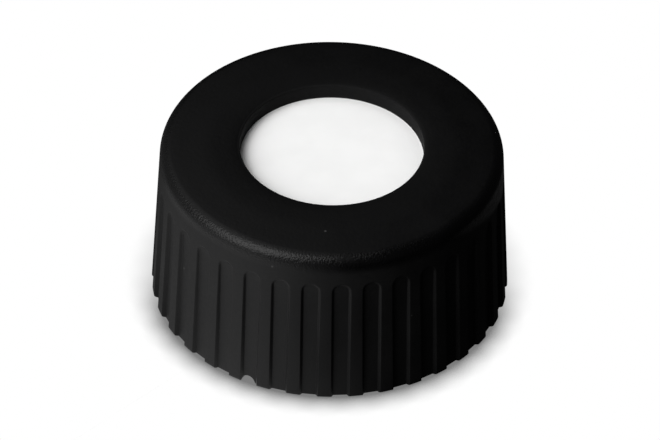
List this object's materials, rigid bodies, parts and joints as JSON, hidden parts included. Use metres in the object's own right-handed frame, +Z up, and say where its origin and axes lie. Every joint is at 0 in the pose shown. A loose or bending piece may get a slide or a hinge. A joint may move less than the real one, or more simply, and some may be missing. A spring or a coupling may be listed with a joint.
{
  "type": "vial screw cap with septum",
  "caption": "Open-top black screw cap with a ribbed, tapered skirt and a round needle hole, closed from inside by a white septum disc.",
  "frame": {"origin": "on the cap's axis, in the plane of the rim that it stands on", "axes": "+Z up along the axis, out through the needle hole; -Y is the front"},
  "size_m": [0.0118, 0.0118, 0.0058],
  "materials": {
    "cap_plastic": "black moulded polypropylene, satin with a fine grain",
    "septum_rubber": "white silicone, matt"
  },
  "bodies": {
    "root": {"screw_cap": "cap_plastic", "septum": "septum_rubber"}
  },
  "joints": []
}
